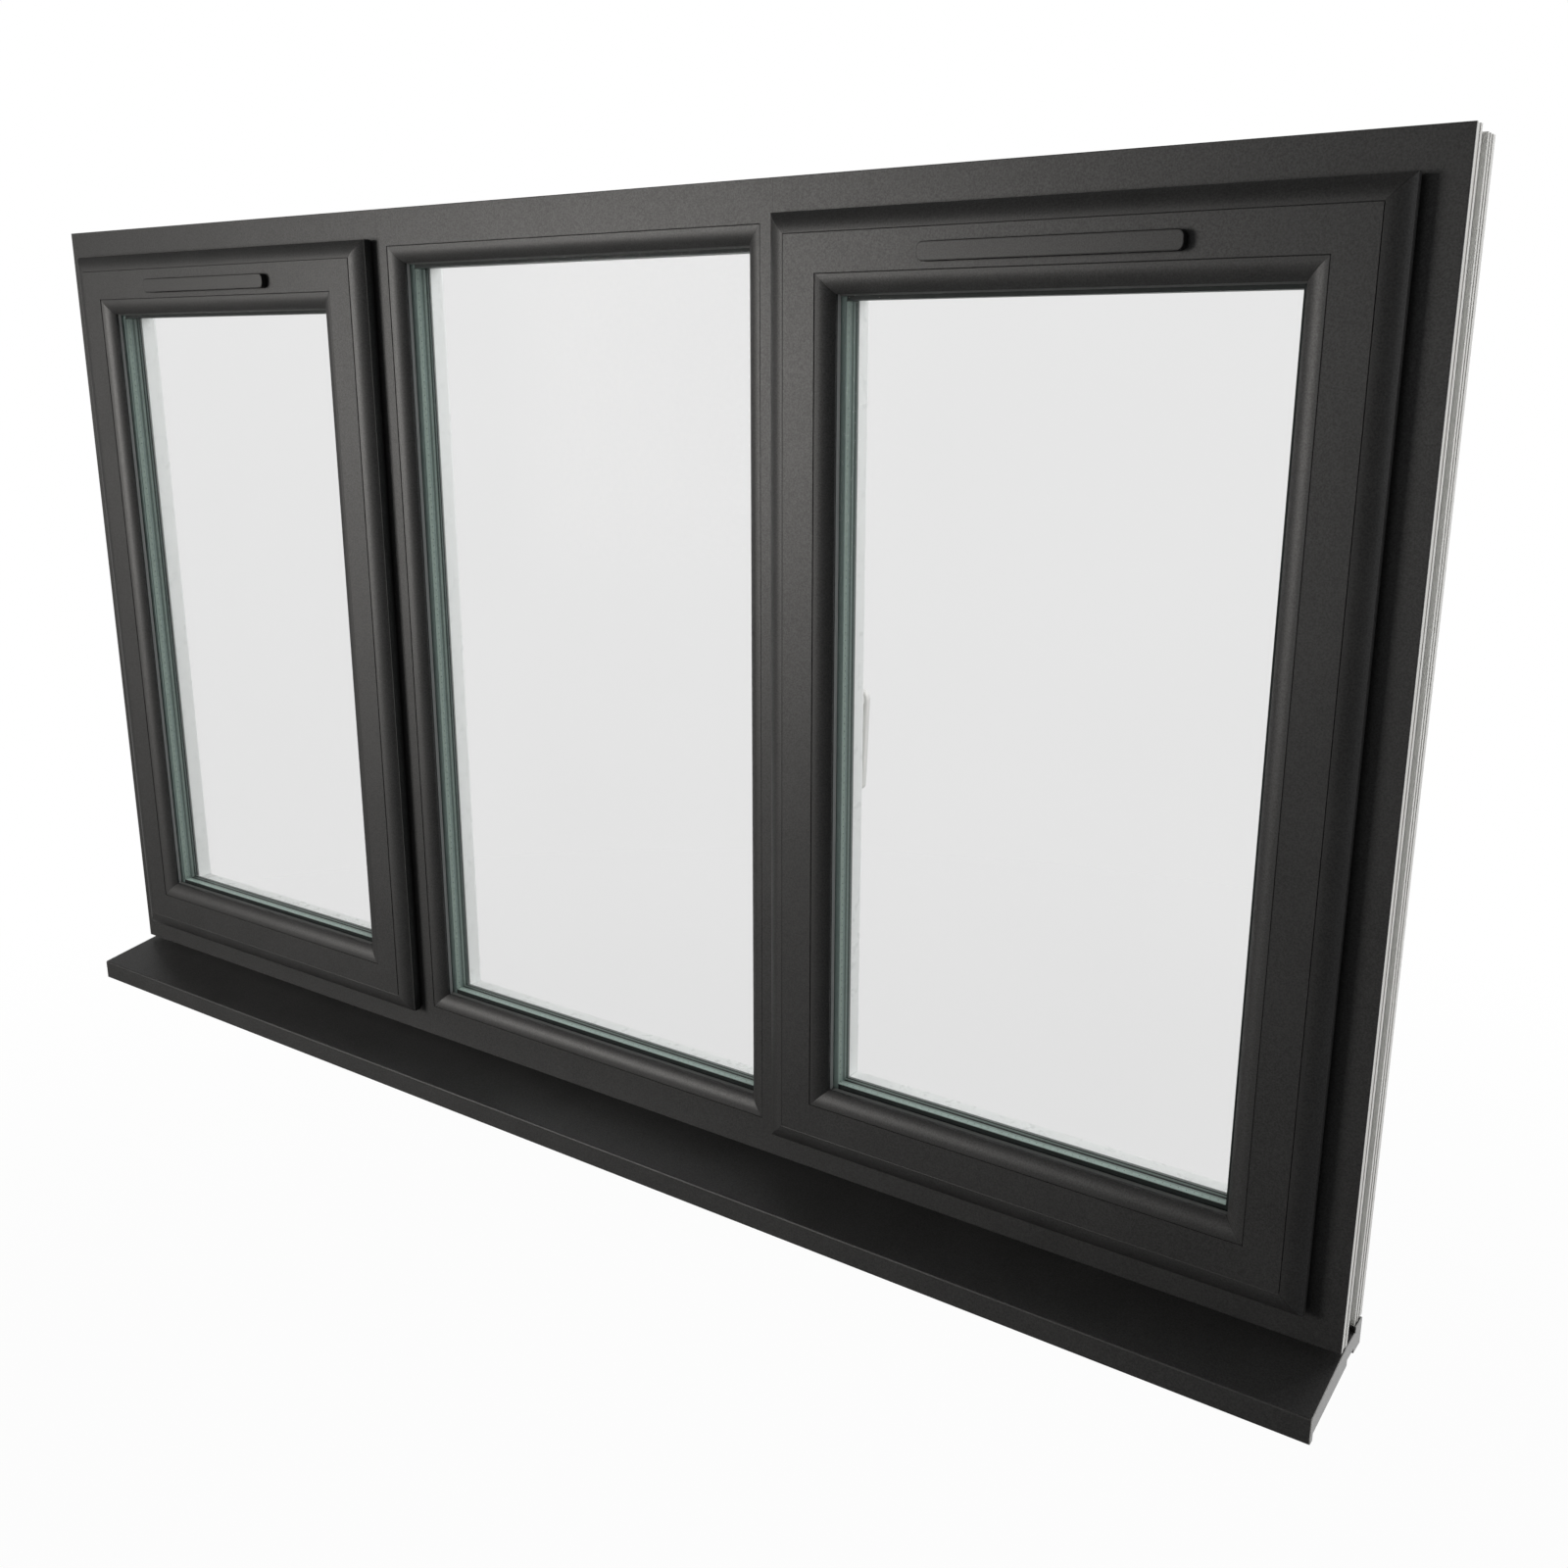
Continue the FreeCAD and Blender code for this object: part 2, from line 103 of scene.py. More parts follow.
# Sizes of the small fittings
LOCK_RADIUS = 5.6 * MM
LOCK_DEPTH = 2.4 * MM
LOCK_EDGE = 0.5 * MM
LOCK_COLLAR = 1.2 * MM
LOCK_DISH = 0.4 * MM
KEYWAY_INSET = 0.9 * MM
KEYWAY_NARROWING = 0.28
KEYWAY_DEPTH = 1.2 * MM
GRIP_LENGTH = 46 * MM
GRIP_HEIGHT = 7 * MM
GRIP_BASE = 0.4 * MM
GRIP_RIBS = 15
RIB_HEIGHT = 0.9 * MM
RIB_EDGE = 0.3 * MM

# Sizes of the patterns in the finishes
FOIL_GRAIN = 1.5 * MM
FOIL_CLOUD = 60 * MM
PVC_CLOUD = 9 * MM
VENT_GRAIN = 1.2 * MM
GLASS_WAVE = 250 * MM
SPACER_CLOUD = 4 * MM
RUBBER_BLOOM = 6 * MM
ENAMEL_PEEL = 1.8 * MM
BRUSH_LENGTH = 12 * MM
BRUSH_STRETCH = (1.0, 40.0, 40.0)

# Other values of the finishes
NOISE_RANGE = (0.3, 0.7)
FOIL_IOR = 1.44
GLASS_IOR = 1.09
RUBBER_ROUGHNESS = (0.5, 0.65)
DULL_SHEEN = 0.15
RUBBER_SHEEN = 0.5
BARE_PVC = ("#c4c3bf", "#d3d2ce")
# Bare PVC of the sill, lighter than the frame's: painted light that lifts the shade in its chambers
SILL_BARE_PVC = ("#cfcecb", "#d9d8d5")


def linear(colour):
    """An sRGB hex colour as linear RGBA."""
    shares = [int(colour[i : i + 2], 16) / 255 for i in (1, 3, 5)]
    return tuple(s / 12.92 if s <= 0.04045 else ((s + 0.055) / 1.055) ** 2.4 for s in shares) + (1.0,)


def feed(tree, node, inputs):
    """Set a node's input sockets to values, or link them to other sockets."""
    for key, value in inputs.items():
        if isinstance(value, bpy.types.NodeSocket):
            tree.links.new(value, node.inputs[key])
        else:
            node.inputs[key].default_value = value


def add(tree, kind, inputs=None, **settings):
    """Add one node with its settings and its input sockets."""
    node = tree.nodes.new("ShaderNode" + kind)
    for name, value in settings.items():
        setattr(node, name, value)
    feed(tree, node, inputs or {})
    return node


def calc(tree, operation, *values, clamp=False):
    """One step of arithmetic."""
    return add(tree, "Math", dict(enumerate(values)), operation=operation, use_clamp=clamp).outputs[0]


def apart(tree, value, centre):
    """How far a coordinate lies from a centre, to either side."""
    return calc(tree, "ABSOLUTE", calc(tree, "SUBTRACT", value, centre))


def spread(tree, value, source=(0.0, 1.0), target=(0.0, 1.0), kind="LINEAR"):
    """A value carried from one range to another, and held at the ends."""
    inputs = dict(enumerate((value, *source, *target)))
    return add(tree, "MapRange", inputs, interpolation_type=kind).outputs[0]


def blend(tree, share, low, high):
    """A colour between two others, each a hex colour or a socket."""
    low, high = (linear(end) if isinstance(end, str) else end for end in (low, high))
    return add(tree, "Mix", {0: share, 6: low, 7: high}, data_type="RGBA").outputs[2]


def noise(tree, place, size, detail, rough=0.5):
    """A soft random pattern, with features of about the given size."""
    inputs = {"Vector": place, "Scale": 1 / size, "Detail": detail, "Roughness": rough}
    return add(tree, "TexNoise", inputs).outputs[0]


def emboss(tree, height, strength, depth):
    """Normals of a surface that a pattern raises."""
    return add(tree, "Bump", {"Strength": strength, "Distance": depth, "Height": height}).outputs[0]


def start(name):
    """A new material: its tree, its surface shader, Object coordinates, and those split in three."""
    material = bpy.data.materials.new(name)
    material.use_nodes = True
    tree = material.node_tree
    shader = tree.nodes["Principled BSDF"]
    place = add(tree, "TexCoord").outputs["Object"]
    parts = add(tree, "SeparateXYZ", {"Vector": place}).outputs
    return material, tree, shader, place, (parts["X"], parts["Y"], parts["Z"])


def mitre_lines(tree, x, z, middle, reach, bands):
    """Mask of the welded corners: hairlines on the diagonals of a rectangle, inside bands from its edge."""
    from_side = calc(tree, "SUBTRACT", reach[0], apart(tree, x, middle[0]))
    from_end = calc(tree, "SUBTRACT", reach[1], apart(tree, z, middle[1]))
    line = calc(tree, "COMPARE", from_side, from_end, MITRE_LINE)
    total = 0.0
    for start_at, end_at in bands:
        centre, half = (start_at + end_at) / 2, (end_at - start_at) / 2
        band = calc(tree, "COMPARE", from_side, centre, half)
        both = calc(tree, "MULTIPLY", line, band)
        total = calc(tree, "MAXIMUM", total, both)
    return total


def foil_over_pvc(name, masks, bare_colours=BARE_PVC):
    """PVC-U profile under a dark laminated foil. The foil is embossed with a fine sandy grain, so it is
    semi-matt and speckled; where it stops, the smooth extruded PVC shows white or bare grey. A painted
    highlight lies along its sharp arrises. The real grain is about 0.4 mm wide, and is drawn at 1.5 mm so
    that it shows."""
    material, tree, shader, place, (x, y, z) = start(name)
    white, bare, line, arris = masks(tree, x, y, z)
    grain = noise(tree, place, FOIL_GRAIN, 2.0, rough=0.6)
    cloud = noise(tree, place, FOIL_CLOUD, 2.0)
    speckle = spread(tree, grain, NOISE_RANGE)
    drift = spread(tree, cloud, NOISE_RANGE, (-0.1, 0.1))
    shade = calc(tree, "ADD", speckle, drift, clamp=True)
    foil = blend(tree, shade, "#1f1f1f", "#363636")
    foil = blend(tree, line, foil, "#111111")
    # Painted highlight along the arrises
    foil = blend(tree, arris, foil, "#6c6c6a")
    clouding = noise(tree, place, PVC_CLOUD, 3.0)
    pale = blend(tree, clouding, "#dededb", "#e9e9e6")
    grey = blend(tree, clouding, *bare_colours)
    colour = blend(tree, white, foil, pale)
    colour = blend(tree, bare, colour, grey)
    plain = calc(tree, "MAXIMUM", white, bare)
    foil_rough = spread(tree, speckle, target=(0.545, 0.455))
    rough = add(tree, "Mix", {0: plain, 2: foil_rough, 3: 0.32}).outputs[0]
    depth = calc(tree, "SUBTRACT", 1.0, plain)
    depth = calc(tree, "MULTIPLY", depth, grain)
    bump = emboss(tree, depth, 0.45, 0.1 * MM)
    feed(tree, shader, {"Base Color": colour, "Roughness": rough, "Normal": bump, "IOR": FOIL_IOR})
    return material


def frame_masks(tree, x, y, z):
    """Outer frame and mullions: bare round the outside, white behind the glazing leg and painted white in its
    channel as painted light on the recess, welds of the fixed light, and a joint line over each mullion."""
    side = calc(tree, "ABSOLUTE", x)
    from_side = calc(tree, "SUBTRACT", frame_half, side)
    from_top = calc(tree, "SUBTRACT", frame_top, z)
    from_foot = calc(tree, "SUBTRACT", z, frame_foot)
    edge = calc(tree, "MINIMUM", from_side, from_top)
    edge = calc(tree, "MINIMUM", edge, from_foot)
    near = calc(tree, "LESS_THAN", edge, PERIMETER_DEPTH)
    behind = calc(tree, "GREATER_THAN", y, frame_front + FOIL_WRAP)
    bare = calc(tree, "MULTIPLY", near, behind)
    # Painted light: the channel is left white, not bare, to lift the shade in the recess
    channel = calc(tree, "COMPARE", y, frame_front + CHANNEL_MIDDLE, CHANNEL_HALF)
    bare = calc(tree, "SUBTRACT", bare, channel, clamp=True)
    white = calc(tree, "GREATER_THAN", y, frame_front + FRAME_FOIL_DEPTH)
    middle = (0.0, (frame_top + frame_foot) / 2)
    mullion_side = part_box("right_mullion")[0].x + OVOLO_WIDTH
    reach = (mullion_side, (frame_top - frame_foot) / 2 - FLAT_WIDTH)
    welds = mitre_lines(tree, x, z, middle, reach, [(0.0, OVOLO_WIDTH)])
    joint = calc(tree, "COMPARE", side, mullion_middle, HEAD_LINE)
    on_head = calc(tree, "LESS_THAN", from_top, FLAT_WIDTH)
    joint = calc(tree, "MULTIPLY", joint, on_head)
    line = calc(tree, "MAXIMUM", welds, joint)
    return white, bare, line, 0.0


def sash_masks(side):
    """Masks of one casement: white behind its flange, welds on both moulded edges, painted highlight on the
    arris of the flange.
    """
    low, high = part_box(side + "_sash_top_rail")
    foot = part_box(side + "_sash_bottom_rail")[0].z
    middle = ((low.x + high.x) / 2, (foot + high.z) / 2)
    reach = ((high.x - low.x) / 2, (high.z - foot) / 2)
    bands = [(0.0, SASH_EDGE_WIDTH), (SASH_QUIRK, SASH_QUIRK + OVOLO_WIDTH)]

    def masks(tree, x, y, z):
        white = calc(tree, "GREATER_THAN", y, sash_front + SASH_FOIL_DEPTH)
        welds = mitre_lines(tree, x, z, middle, reach, bands)
        at_side = calc(tree, "GREATER_THAN", apart(tree, x, middle[0]), reach[0] - MITRE_LINE)
        at_end = calc(tree, "GREATER_THAN", apart(tree, z, middle[1]), reach[1] - MITRE_LINE)
        rim = calc(tree, "MAXIMUM", at_side, at_end)
        # Painted highlight along the arris of the flange, at this casement's share
        level = calc(tree, "COMPARE", y, sash_front + ARRIS_DEPTH, MITRE_LINE)
        arris = calc(tree, "MULTIPLY", rim, level)
        arris = calc(tree, "MULTIPLY", arris, ARRIS_HIGHLIGHT[side])
        return white, 0.0, welds, arris

    return masks


def sill_masks(tree, x, y, z):
    """Sill: foil on the sloped top and the nosing, bare underneath and in the chambers."""
    run = calc(tree, "SUBTRACT", y, SILL_SLOPE_END)
    line = calc(tree, "MULTIPLY_ADD", run, SILL_SLOPE, SILL_SEAT)
    line = calc(tree, "MINIMUM", line, SILL_SEAT)
    under = calc(tree, "SUBTRACT", line, z)
    top = calc(tree, "LESS_THAN", under, SILL_FOIL)
    nose = calc(tree, "LESS_THAN", y, sill_front + SILL_FOIL)
    covered = calc(tree, "MAXIMUM", top, nose)
    bare = calc(tree, "SUBTRACT", 1.0, covered)
    return 0.0, bare, 0.0, 0.0


def extruded_pvc(name, low, high, rough):
    """Uncoated PVC-U as it leaves the die: smooth, with a soft gloss and a faint clouding."""
    material, tree, shader, place, _ = start(name)
    cloud = noise(tree, place, PVC_CLOUD, 4.0)
    colour = blend(tree, cloud, low, high)
    gloss = spread(tree, cloud, NOISE_RANGE, (rough - 0.05, rough + 0.05))
    bump = emboss(tree, cloud, 0.1, 0.05 * MM)
    feed(tree, shader, {"Base Color": colour, "Roughness": gloss, "Normal": bump})
    return material


def moulded_vent_plastic(side):
    """Injection-moulded plastic of one vent, spark-eroded to a fine matt texture that matches the foil, with
    painted shade as a dark line round its rim. The texture is drawn at 1.2 mm so that it shows."""
    material, tree, shader, place, (x, _, z) = start(side + "_vent_moulded_asa")
    low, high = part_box(side + "_trickle_vent")
    past = []
    for value, near, far in ((x, low.x, high.x), (z, low.z, high.z)):
        away = apart(tree, value, (near + far) / 2)
        straight = (far - near) / 2 - VENT_CORNER
        past.append(calc(tree, "SUBTRACT", away, straight, clamp=True))
    corner = add(tree, "CombineXYZ", {0: past[0], 1: past[1]}).outputs[0]
    reach = add(tree, "VectorMath", {0: corner}, operation="LENGTH").outputs["Value"]
    # Painted shade: a dark line round the rim
    rim = calc(tree, "GREATER_THAN", reach, VENT_CORNER - VENT_RIM)
    grain = noise(tree, place, VENT_GRAIN, 3.0)
    speckle = spread(tree, grain, NOISE_RANGE)
    colour = blend(tree, speckle, "#222222", "#323232")
    colour = blend(tree, rim, colour, "#0b0b0b")
    gloss = spread(tree, speckle, target=(0.54, 0.46))
    bump = emboss(tree, grain, 0.3, 0.05 * MM)
    feed(tree, shader, {"Base Color": colour, "Roughness": gloss, "Normal": bump, "IOR": FOIL_IOR})
    return material


def float_glass():
    """Clear float glass: fire-polished, a little grey through two panes, and a little clearer towards the
    top.
    The panes of the real window mirror very little, so the index and the mirrored tint are low."""
    material, tree, shader, place, (_, _, z) = start("clear_float_glass")
    wave = spread(tree, noise(tree, place, GLASS_WAVE, 1.0), target=(-0.2, 0.2))
    height = spread(tree, z, (frame_foot, frame_top))
    clear = calc(tree, "ADD", height, wave, clamp=True)
    tint = blend(tree, clear, "#f0f0f0", "#f3f3f3")
    feed(tree, shader, {"Base Color": tint, "Transmission Weight": 1.0, "Roughness": 0.0})
    feed(tree, shader, {"IOR": GLASS_IOR, "Specular Tint": linear("#2a2a2a")})
    shadow = add(tree, "LightPath").outputs["Is Shadow Ray"]
    passed = add(tree, "BsdfTransparent", {"Color": linear("#eef0f0")}).outputs[0]
    both = add(tree, "MixShader", {0: shadow, 1: shader.outputs[0], 2: passed}).outputs[0]
    feed(tree, tree.nodes["Material Output"], {"Surface": both})
    return material


# Bands across a spacer bar, from the outer pane inwards: depth in mm, colour, and colour on the left run,
# a copy with painted light and shade, so that the grooves show less there
SPACER_BANDS = (
    (0.0, "#55615d", "#44504c"),
    (1.0, "#8c9b95", "#7c8a84"),
    (7.0, "#73817b", "#6c7974"),
    (10.0, "#080a09", "#4a5652"),
    (13.2, "#56615d", "#6a7671"),
    (16.2, "#080a09", "#2a322f"),
    (18.4, "#656d6a", "#5c6663"),
)
HOLE_BAND = 5 * MM
HOLE_SIZE = 0.9 * MM
HOLE_PITCH = 7.5 * MM

# Share of its colour that the top run shows: painted shade
TOP_RUN_SHADE = 0.3


def perforated_spacer(light):
    """Roll-formed aluminium spacer bar with a green-grey coat: dull, two black grooves along its length and
    a row of breathing holes. Painted light and shade on its left run, and painted shade along the top of the
    light."""
    material, tree, shader, place, (x, y, z) = start(light + "_spacer_rolled_aluminium")
    low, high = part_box(light + "_spacer")
    depth = high.y - low.y
    share = spread(tree, y, (low.y, high.y))
    runs = []
    for which in (1, 2):
        band_node = add(tree, "ValToRGB", {0: share})
        ramp = band_node.color_ramp
        ramp.interpolation = "CONSTANT"
        ramp.elements.remove(ramp.elements[1])
        ramp.elements[0].color = linear(SPACER_BANDS[0][which])
        for band in SPACER_BANDS[1:]:
            stop = ramp.elements.new(band[0] * MM / depth)
            stop.color = linear(band[which])
        runs.append(band_node.outputs[0])
    # Painted light and shade: the left run takes the second set of colours
    left = calc(tree, "LESS_THAN", x, low.x + SPACER_HEIGHT + MM)
    bands = blend(tree, left, *runs)
    along = calc(tree, "ADD", x, z)
    step = calc(tree, "FLOORED_MODULO", along, HOLE_PITCH)
    hole = calc(tree, "LESS_THAN", step, HOLE_SIZE)
    row = calc(tree, "COMPARE", y, low.y + HOLE_BAND, HOLE_SIZE / 2)
    hole = calc(tree, "MULTIPLY", hole, row)
    bands = blend(tree, hole, bands, "#1a1e1d")
    cloud = noise(tree, place, SPACER_CLOUD, 3.0)
    fade = spread(tree, cloud, NOISE_RANGE, (0.9, 1.1))
    # Painted shade along the top run
    top = calc(tree, "GREATER_THAN", z, high.z - SPACER_HEIGHT - MM)
    coat = spread(tree, top, target=(1.0, TOP_RUN_SHADE))
    fade = calc(tree, "MULTIPLY", fade, coat)
    colour = add(tree, "VectorMath", {0: bands, 1: fade}, operation="MULTIPLY").outputs[0]
    gloss = spread(tree, cloud, target=(0.38, 0.5))
    feed(tree, shader, {"Base Color": colour, "Roughness": gloss, "Specular IOR Level": DULL_SHEEN})
    return material


def extruded_rubber(name, low, high):
    """Extruded rubber: dull, smooth and slightly bloomed."""
    material, tree, shader, place, _ = start(name)
    bloom = noise(tree, place, RUBBER_BLOOM, 4.0)
    colour = blend(tree, bloom, low, high)
    gloss = spread(tree, bloom, NOISE_RANGE, RUBBER_ROUGHNESS)
    feed(tree, shader, {"Base Color": colour, "Roughness": gloss})
    return material


def rubber_round_light(name, left_edge, dark, pale, sheen):
    """Rubber that runs round one light, the outside gasket or the butyl of the spacer: dull and dark, with a
    slight bloom, and painted light on the left run, which ends at left_edge along X."""
    material, tree, shader, place, (x, _, _) = start(name)
    left = calc(tree, "LESS_THAN", x, left_edge)
    bloom = noise(tree, place, RUBBER_BLOOM, 4.0)
    # Painted light: the left run takes the pale colours
    colour = blend(tree, left, blend(tree, bloom, *dark), blend(tree, bloom, *pale))
    gloss = spread(tree, bloom, NOISE_RANGE, RUBBER_ROUGHNESS)
    feed(tree, shader, {"Base Color": colour, "Roughness": gloss, "Specular IOR Level": sheen})
    return material


def powder_coat():
    """White powder coat on die-cast zinc: glossy, with the slight orange peel of a melted coat."""
    material, tree, shader, place, _ = start("white_powder_coated_zinc")
    peel = noise(tree, place, ENAMEL_PEEL, 1.0)
    colour = blend(tree, peel, "#e4e4e1", "#ececea")
    bump = emboss(tree, peel, 0.12, 0.04 * MM)
    feed(tree, shader, {"Base Color": colour, "Roughness": 0.25, "Normal": bump})
    return material


def brushed_steel(name, low, high, rough):
    """Stainless strip or nickel, brushed along X: fine lines that blur what it mirrors."""
    material, tree, shader, place, _ = start(name)
    lines = add(tree, "Mapping", {"Vector": place, "Scale": BRUSH_STRETCH}).outputs[0]
    brush = noise(tree, lines, BRUSH_LENGTH, 3.0)
    colour = blend(tree, brush, low, high)
    gloss = spread(tree, brush, target=(rough - 0.08, rough + 0.08))
    bump = emboss(tree, brush, 0.15, 0.02 * MM)
    feed(tree, shader, {"Base Color": colour, "Roughness": gloss, "Normal": bump, "Metallic": 1.0})
    return material


def wear(finish, *names):
    """Give CAD nodes or pieces a finish."""
    for name in names:
        piece = bpy.data.objects[name]
        piece.data.materials.clear()
        piece.data.materials.append(finish)


frame_foil = foil_over_pvc("frame_foil_over_pvc", frame_masks)
wear(frame_foil, "frame_head", "frame_bottom_rail", "frame_left_jamb", "frame_right_jamb")
wear(frame_foil, "left_mullion", "right_mullion")
wear(foil_over_pvc("sill_foil_over_pvc", sill_masks, SILL_BARE_PVC), "sill")
white_pvc = extruded_pvc("white_extruded_pvc", "#f1f4f3", "#f8faf9", 0.3)
grey_pvc = extruded_pvc("grey_cut_pvc", "#8b8b8a", "#a4a4a3", 0.45)
wear(grey_pvc, "sill_left_end_cap", "sill_right_end_cap")
glass = float_glass()
bead_rubber = extruded_rubber("bead_lip_extruded_tpe", "#7d817f", "#8b8f8d")
seal_rubber = extruded_rubber("seal_extruded_epdm", "#151515", "#1e1e1e")
flipper_rubber = extruded_rubber("flipper_extruded_epdm", "#222222", "#2d2d2d")
enamel = powder_coat()
stay_steel = brushed_steel("brushed_stainless_strip", "#a9a9a6", "#c2c2bf", 0.35)
for side in CASEMENTS:
    foil = foil_over_pvc(side + "_sash_foil_over_pvc", sash_masks(side))
    bars = ("top_rail", "bottom_rail", "hinge_stile", "lock_stile")
    wear(foil, *[side + "_sash_" + bar for bar in bars])
    wear(moulded_vent_plastic(side), side + "_trickle_vent")
    wear(white_pvc, side + "_vent_control")
    wear(enamel, side + "_handle_base", side + "_handle_lever")
    wear(stay_steel, side + "_friction_stays")
    wear(seal_rubber, side + "_weather_seal")
for light in LIGHTS:
    wear(glass, light + "_outer_pane", light + "_inner_pane")
    wear(perforated_spacer(light), light + "_spacer")
    gasket_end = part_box(light + "_outer_gasket")[0].x + GASKET_WIDTH
    # Dark runs, and pale colours for the painted light on the left run
    dark, pale = ("#444645", "#515352"), ("#979998", "#a4a6a5")
    gasket = rubber_round_light(light + "_gasket_extruded_epdm", gasket_end, dark, pale, RUBBER_SHEEN)
    wear(gasket, light + "_outer_gasket")
    wear(white_pvc, light + "_beads")


def begin_edit():
    """Bake the new primitive's transform into its mesh, and enter edit mode on faces."""
    bpy.ops.object.transform_apply(location=True, rotation=True, scale=True)
    bpy.ops.object.mode_set(mode="EDIT")
    bpy.ops.mesh.select_mode(type="FACE")


def pick(piece, kind, test):
    """Select the vertices, edges or faces that pass a test, in edit mode."""
    bpy.ops.mesh.select_mode(type=kind)
    bpy.ops.mesh.select_all(action="DESELECT")
    bpy.ops.object.mode_set(mode="OBJECT")
    parts = {"VERT": piece.data.vertices, "EDGE": piece.data.edges, "FACE": piece.data.polygons}[kind]
    for part in parts:
        part.select = test(part)
    bpy.ops.object.mode_set(mode="EDIT")


def end_edit(piece, finish):
    """Close a shaped piece: normals out, soft shading, finish and body."""
    bpy.ops.mesh.select_all(action="SELECT")
    bpy.ops.mesh.normals_make_consistent(inside=False)
    bpy.ops.object.mode_set(mode="OBJECT")
    bpy.ops.object.shade_smooth_by_angle(angle=math.radians(40))
    piece.data.materials.append(finish)
    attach(piece, "root")


def ring(name, low, high, face, width, depth):
    """Start a flat frame from a plane, in edit mode: its outline in X and Z, and its depth from a Y plane."""
    middle = ((low.x + high.x) / 2, face, (low.z + high.z) / 2)
    bpy.ops.object.select_all(action="DESELECT")
    bpy.ops.mesh.primitive_plane_add(size=1.0, location=middle, rotation=(math.pi / 2, 0.0, 0.0))
    piece = bpy.context.object
    piece.name = name
    piece.scale = (high.x - low.x, high.z - low.z, 1.0)
    begin_edit()
    bpy.ops.mesh.select_all(action="SELECT")
    bpy.ops.mesh.inset(thickness=width)
    bpy.ops.mesh.delete(type="FACE")
    bpy.ops.mesh.select_all(action="SELECT")
    bpy.ops.mesh.extrude_region_move(TRANSFORM_OT_translate={"value": (0.0, depth, 0.0)})
    return piece


def soften_rim(piece, back, low, high, outer, offset):
    """Round a ring's back edges on its outer or inner outline, given as a rectangle in X and Z."""
    points = piece.data.vertices
    near = 0.1 * MM

    def on_rim(edge):
        ends = [points[i].co for i in edge.vertices]
        if any(abs(e.y - back) > near for e in ends):
            return False
        inside = [low.x + near < e.x < high.x - near and low.z + near < e.z < high.z - near for e in ends]
        return not any(inside) if outer else all(inside)

    pick(piece, "EDGE", on_rim)
    bpy.ops.mesh.bevel(offset=offset, segments=4)


def bead_lip(light):
    """Soft grey lip of the bead against the inner pane, all round one light."""
    low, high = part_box(light + "_beads")
    tuck = Vector((BEAD_WIDTH - LIP_TUCK, 0.0, BEAD_WIDTH - LIP_TUCK))
    low, high = low + tuck, high - tuck
    piece = ring(light + "_bead_lip", low, high, low.y, LIP_TUCK + LIP_REACH, LIP_DEPTH)
    soften_rim(piece, low.y + LIP_DEPTH, low, high, False, 0.6 * LIP_REACH)
    end_edit(piece, bead_rubber)


def butyl_seal(light):
    """Thin rings of sealant pressed between a spacer bar and the two panes it keeps apart."""
    low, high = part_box(light + "_spacer")
    face = low.y - BUTYL_PROUD
    piece = ring(light + "_butyl_seal", low, high, face, SPACER_HEIGHT, BUTYL_PROUD + BUTYL_TUCK)
    bpy.ops.mesh.select_all(action="SELECT")
    apart = high.y - BUTYL_TUCK - face
    bpy.ops.mesh.duplicate_move(TRANSFORM_OT_translate={"value": (0.0, apart, 0.0)})
    run_end = low.x + SPACER_HEIGHT + MM
    # Dark runs, and pale colours for the painted light on the left run
    dark, pale = ("#121615", "#191d1c"), ("#5d6a66", "#687571")
    butyl = rubber_round_light(light + "_spacer_pressed_butyl", run_end, dark, pale, DULL_SHEEN)
    end_edit(piece, butyl)


def flipper_seal(side):
    """Rubber flap behind the edge of a casement's flange, that closes most of the gap to the frame."""
    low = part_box(side + "_sash_bottom_rail")[0]
    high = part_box(side + "_sash_top_rail")[1]
    tuck = Vector((FLIPPER_INSET, 0.0, FLIPPER_INSET))
    low, high = low + tuck, high - tuck
    face = sash_front + SASH_FLANGE
    piece = ring(side + "_flipper_seal", low, high, face, FLIPPER_WIDTH, FLIPPER_DEPTH)
    soften_rim(piece, face + FLIPPER_DEPTH, low, high, True, 0.5 * FLIPPER_WIDTH)
    end_edit(piece, flipper_rubber)


def key_lock(side):
    """Round lock barrel with a keyway, let into the hub of a lever."""
    low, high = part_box(side + "_handle_lever")
    middle = ((low.x + high.x) / 2, high.y, high.z - LEVER_HUB)
    bpy.ops.object.select_all(action="DESELECT")
    facing = (-math.pi / 2, 0.0, 0.0)
    bpy.ops.mesh.primitive_cylinder_add(
        vertices=40, radius=LOCK_RADIUS, depth=LOCK_DEPTH, location=middle, rotation=facing
    )
    piece = bpy.context.object
    piece.name = side + "_key_lock"
    begin_edit()
    pick(piece, "FACE", lambda face: face.normal.y > 0.9)
    bpy.ops.mesh.bevel(offset=LOCK_EDGE, segments=3)
    pick(piece, "FACE", lambda face: face.normal.y > 0.99)
    bpy.ops.mesh.inset(thickness=LOCK_COLLAR)
    bpy.ops.mesh.extrude_region_move(TRANSFORM_OT_translate={"value": (0.0, -LOCK_DISH, 0.0)})
    bpy.ops.mesh.inset(thickness=KEYWAY_INSET)
    bpy.ops.transform.resize(value=(KEYWAY_NARROWING, 1.0, 1.0), center_override=middle)
    bpy.ops.mesh.extrude_region_move(TRANSFORM_OT_translate={"value": (0.0, -KEYWAY_DEPTH, 0.0)})
    end_edit(piece, lock_steel)


